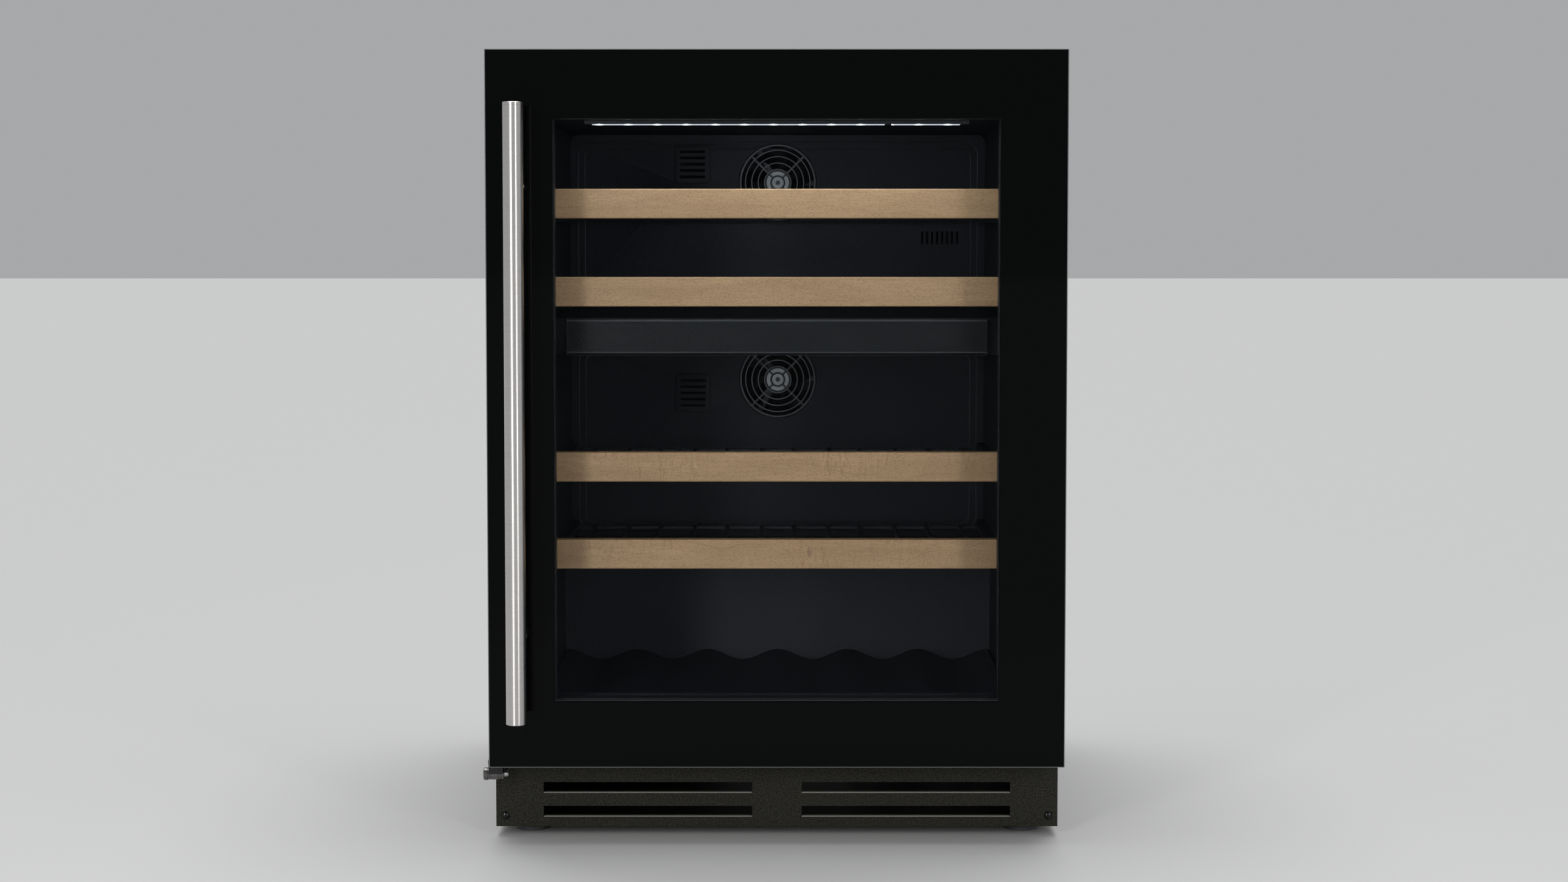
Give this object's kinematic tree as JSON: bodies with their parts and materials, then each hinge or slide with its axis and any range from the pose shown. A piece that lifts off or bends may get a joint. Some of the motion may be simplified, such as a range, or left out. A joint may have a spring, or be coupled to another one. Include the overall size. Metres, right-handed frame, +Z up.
{
  "type": "wine cooler",
  "caption": "Under-counter wine cooler: insulated cabinet, hinged glass door with bar handle, sliding wood-fronted shelves over a bottom bay, cooling unit behind.",
  "frame": {"origin": "on the floor, centred on the width and on the whole depth, handle included", "axes": "+Z up, +Y from the door to the rear, +X to the right of someone facing the door"},
  "size_m": [0.6025, 0.6234, 0.82],
  "materials": {
    "outer_glass": "polished",
    "inner_glass": "polished",
    "door_frame_plastic": "satin",
    "gasket_rubber": "matte",
    "spacer_aluminium": "satin",
    "handle_steel": "satin",
    "cabinet_paint": "satin",
    "zinc_sheet": "satin",
    "bright_chrome": "polished",
    "plinth_paint": "matte",
    "insulation_foam": "matte",
    "liner_plastic": "satin",
    "grained_trim": "satin",
    "fan_plastic": "satin",
    "machine_plastic": "satin",
    "light_lens": "satin",
    "beech": "satin",
    "rack_coating": "satin",
    "compressor_paint": "satin",
    "grey_plastic": "matte"
  },
  "bodies": {
    "cabinet": {"base_plate": "zinc_sheet", "bottle_tray": "liner_plastic", "compressor": "compressor_paint", "condenser": "compressor_paint", "condenser_fan_frame": "machine_plastic", "control_box": "grey_plastic", "divider_front": "grained_trim", "drip_tray": "grey_plastic", "evaporator": "spacer_aluminium", "fan_frame_lower": "fan_plastic", "fan_frame_upper": "fan_plastic", "foam_body": "insulation_foam", "guide_column_left": "liner_plastic", "guide_column_right": "liner_plastic", "hinge_bracket_bottom": "cabinet_paint", "hinge_bracket_top": "cabinet_paint", "hinge_pin_bottom": "zinc_sheet", "hinge_pin_top": "zinc_sheet", "inner_liner": "liner_plastic", "kickplate": "plinth_paint", "kickplate_screw_left": "bright_chrome", "kickplate_screw_right": "bright_chrome", "led_bar": "machine_plastic", "led_lens_left": "light_lens", "led_lens_right": "light_lens", "left_side_panel": "cabinet_paint", "lock_barrel": "bright_chrome", "lock_bracket": "cabinet_paint", "machine_cover": "zinc_sheet", "power_inlet": "machine_plastic", "rear_cover_lower": "liner_plastic", "rear_cover_upper": "liner_plastic", "rear_panel": "zinc_sheet", "right_side_panel": "cabinet_paint", "top_panel": "cabinet_paint", "zone_divider": "grained_trim"},
    "door": {"door_glass_outer": "outer_glass", "door_glass_inner": "inner_glass", "door_frame": "door_frame_plastic", "glass_spacer": "spacer_aluminium", "gasket": "gasket_rubber", "handle_bar": "handle_steel", "handle_post_top": "handle_steel", "handle_post_bottom": "handle_steel"},
    "lock_tongue": {"lock_cam": "zinc_sheet"},
    "upper_fan": {"circulation_fan_upper": "fan_plastic"},
    "lower_fan": {"circulation_fan_lower": "fan_plastic"},
    "rear_fan": {"condenser_fan": "machine_plastic"},
    "shelf_1": {"shelf_1_fascia": "beech", "shelf_1_rack": "rack_coating"},
    "shelf_2": {"shelf_2_fascia": "beech", "shelf_2_rack": "rack_coating"},
    "shelf_3": {"shelf_3_fascia": "beech", "shelf_3_rack": "rack_coating"},
    "shelf_4": {"shelf_4_fascia": "beech", "shelf_4_rack": "rack_coating"},
    "foot_front_left": {"foot_front_left": "grey_plastic"},
    "foot_front_right": {"foot_front_right": "grey_plastic"},
    "foot_rear_left": {"foot_rear_left": "grey_plastic"},
    "foot_rear_right": {"foot_rear_right": "grey_plastic"}
  },
  "joints": [
    {"name": "door_hinge", "type": "hinge", "parent": "cabinet", "child": "door", "pos_m": [0.285, -0.23975, 0.45], "axis": [0, 0, 1], "range_deg": [0, 110]},
    {"name": "shelf_1_slide", "type": "slide", "parent": "cabinet", "child": "shelf_1", "axis": [0, -1, 0], "range_m": [0, 0.035]},
    {"name": "shelf_2_slide", "type": "slide", "parent": "cabinet", "child": "shelf_2", "axis": [0, -1, 0], "range_m": [0, 0.035]},
    {"name": "shelf_3_slide", "type": "slide", "parent": "cabinet", "child": "shelf_3", "axis": [0, -1, 0], "range_m": [0, 0.035]},
    {"name": "shelf_4_slide", "type": "slide", "parent": "cabinet", "child": "shelf_4", "axis": [0, -1, 0], "range_m": [0, 0.035]},
    {"name": "foot_front_left_height", "type": "slide", "parent": "cabinet", "child": "foot_front_left", "axis": [0, 0, -1], "range_m": [0, 0.05]},
    {"name": "foot_front_right_height", "type": "slide", "parent": "cabinet", "child": "foot_front_right", "axis": [0, 0, -1], "range_m": [0, 0.05]},
    {"name": "foot_rear_left_height", "type": "slide", "parent": "cabinet", "child": "foot_rear_left", "axis": [0, 0, -1], "range_m": [0, 0.05]},
    {"name": "foot_rear_right_height", "type": "slide", "parent": "cabinet", "child": "foot_rear_right", "axis": [0, 0, -1], "range_m": [0, 0.05]},
    {"name": "upper_fan_spin", "type": "hinge", "parent": "cabinet", "child": "upper_fan", "pos_m": [0, 0.223, 0.692], "axis": [0, 1, 0], "continuous": true},
    {"name": "lower_fan_spin", "type": "hinge", "parent": "cabinet", "child": "lower_fan", "pos_m": [0, 0.223, 0.456], "axis": [0, 1, 0], "continuous": true},
    {"name": "rear_fan_spin", "type": "hinge", "parent": "cabinet", "child": "rear_fan", "pos_m": [0.16, 0.225, 0.0778], "axis": [0, 1, 0], "continuous": true},
    {"name": "lock_turn", "type": "hinge", "parent": "cabinet", "child": "lock_tongue", "pos_m": [-0.29, -0.23975, 0.0707], "axis": [1, 0, 0], "range_deg": [0, 90]}
  ]
}
